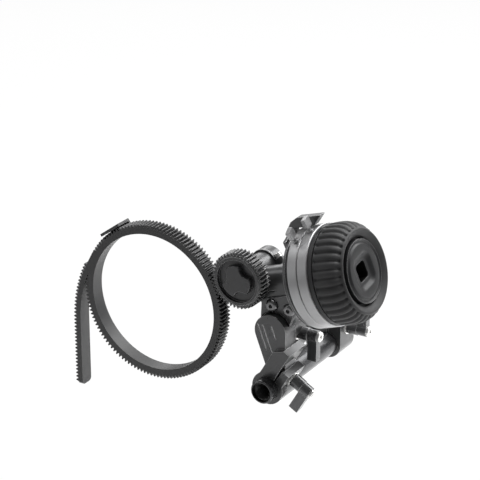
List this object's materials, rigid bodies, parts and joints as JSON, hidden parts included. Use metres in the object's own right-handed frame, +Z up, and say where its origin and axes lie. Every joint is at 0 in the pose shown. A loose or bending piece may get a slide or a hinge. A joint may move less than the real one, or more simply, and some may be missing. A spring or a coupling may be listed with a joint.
{
  "type": "follow focus unit",
  "caption": "Follow focus unit with a fluted handwheel, hard-stop rings, drive gear on a jointed arm and a short rod, and a toothed lens belt.",
  "frame": {"origin": "on the camera cage's side face, on the axis of the quarter-inch cage stud", "axes": "+X to the operator's right, away from the cage; +Y along the lens axis, towards the camera's back; +Z up"},
  "size_m": [0.2056, 0.1058, 0.1451],
  "materials": {
    "black_anodised": "satin black anodised",
    "black_rod": "satin black anodised, brushed round",
    "silver_anodised": "bead blasted, clear anodised",
    "bright_steel": "nickel plated",
    "black_steel": "black oxide",
    "shaft_steel": "ground",
    "bush_bronze": "sintered",
    "grip_rubber": "matte",
    "belt_plastic": "matte",
    "gear_plastic": "satin"
  },
  "bodies": {
    "base": {"base_plate": "black_anodised", "cage_block": "black_anodised", "rod_clamp": "black_anodised", "base_screws": "black_steel", "locating_pins": "bright_steel", "cage_lever_washer": "bright_steel", "rod_lever_washer": "bright_steel"},
    "cage_lever": {"cage_lever": "black_anodised", "cage_stud": "bright_steel"},
    "rod_lever": {"rod_lever": "black_anodised", "rod_lock_screw": "bright_steel"},
    "rod": {"rod": "black_rod"},
    "swing_arm": {"swing_arm": "black_anodised", "elbow_pin": "shaft_steel", "elbow_clip": "bright_steel", "arm_lever_washer": "bright_steel"},
    "arm_lever": {"arm_lever": "black_anodised", "arm_lock_screw": "bright_steel"},
    "gear_unit": {"stem_bracket": "black_anodised", "stem_plate": "black_anodised", "stem_screws": "black_steel", "bracket_screws": "black_steel", "gearbox_housing": "black_anodised", "rear_cover": "black_anodised", "rear_collar": "black_anodised", "collar_screw": "bright_steel", "drive_bushes": "bush_bronze", "wheel_bushes": "bush_bronze", "index_flange": "black_anodised", "flange_screws": "bright_steel", "pointer": "black_anodised", "pointer_screws": "bright_steel"},
    "handwheel": {"wheel_shaft": "shaft_steel", "driving_screw_gear": "shaft_steel", "wheel_hub": "black_anodised", "ring_retainer": "bright_steel", "hub_screws": "bright_steel", "rubber_grip": "grip_rubber", "front_disc": "black_anodised"},
    "drive": {"drive_shaft": "shaft_steel", "driven_screw_gear": "shaft_steel", "drive_gear": "gear_plastic", "gear_knob": "gear_plastic"},
    "stop_ring_a": {"stop_ring_a": "silver_anodised"},
    "stop_ring_b": {"stop_ring_b": "silver_anodised"},
    "stop_screw_a": {"stop_screw_a": "silver_anodised"},
    "stop_screw_b": {"stop_screw_b": "silver_anodised"},
    "belt": {"gear_belt": "belt_plastic", "belt_buckle": "belt_plastic", "belt_screws": "bright_steel"}
  },
  "joints": [
    {"name": "cage_lever_turn", "type": "hinge", "parent": "base", "child": "cage_lever", "pos_m": [0, 0, 0], "axis": [1, 0, 0], "range_deg": [-20, 100]},
    {"name": "rod_lever_turn", "type": "hinge", "parent": "base", "child": "rod_lever", "pos_m": [0.0242, 0.0547, -0.0165], "axis": [1, 0, 0], "range_deg": [-90, 90]},
    {"name": "rod_slide", "type": "slide", "parent": "base", "child": "rod", "axis": [0, 1, 0], "range_m": [-0.012, 0]},
    {"name": "arm_swing", "type": "hinge", "parent": "rod", "child": "swing_arm", "pos_m": [0.0145, 0, -0.027], "axis": [0, 1, 0], "range_deg": [0, 45]},
    {"name": "arm_lever_turn", "type": "hinge", "parent": "swing_arm", "child": "arm_lever", "pos_m": [0.02645, -0.02, -0.02131], "axis": [0.866, 0, -0.5], "range_deg": [-90, 90]},
    {"name": "elbow_turn", "type": "hinge", "parent": "swing_arm", "child": "gear_unit", "pos_m": [0.0145, -0.011, 0.009], "axis": [0, 1, 0], "range_deg": [0, 30]},
    {"name": "handwheel_turn", "type": "hinge", "parent": "gear_unit", "child": "handwheel", "pos_m": [-0.0035, -0.011, 0.03127], "axis": [0.9494, 0, 0.314], "range_deg": [0, 240]},
    {"name": "drive_turn", "type": "hinge", "parent": "gear_unit", "child": "drive", "pos_m": [-0.00622, -0.011, 0.03947], "axis": [0, 1, 0], "range_deg": [0, 240]},
    {"name": "belt_turn", "type": "hinge", "parent": "base", "child": "belt", "pos_m": [-0.0675, -0.0266, 0.01167], "axis": [0, 1, 0], "range_deg": [-83, 0]},
    {"name": "stop_ring_a_turn", "type": "hinge", "parent": "handwheel", "child": "stop_ring_a", "pos_m": [0.04625, -0.011, 0.04773], "axis": [0.9494, 0, 0.314], "range_deg": [0, 80]},
    {"name": "stop_ring_b_turn", "type": "hinge", "parent": "handwheel", "child": "stop_ring_b", "pos_m": [0.03965, -0.011, 0.04554], "axis": [0.9494, 0, 0.314], "range_deg": [-14, 60]},
    {"name": "stop_screw_a_turn", "type": "hinge", "parent": "stop_ring_a", "child": "stop_screw_a", "pos_m": [0.03693, -0.01895, 0.07588], "axis": [-0.3033, -0.2588, 0.9171], "range_deg": [-90, 90]},
    {"name": "stop_screw_b_turn", "type": "hinge", "parent": "stop_ring_b", "child": "stop_screw_b", "pos_m": [0.03122, -0.02588, 0.07104], "axis": [-0.2746, -0.4848, 0.8304], "range_deg": [-90, 90]}
  ],
  "couplings": [
    {"joint": "drive_turn", "follows": "handwheel_turn", "ratio": 1},
    {"joint": "belt_turn", "follows": "handwheel_turn", "ratio": -0.344}
  ]
}
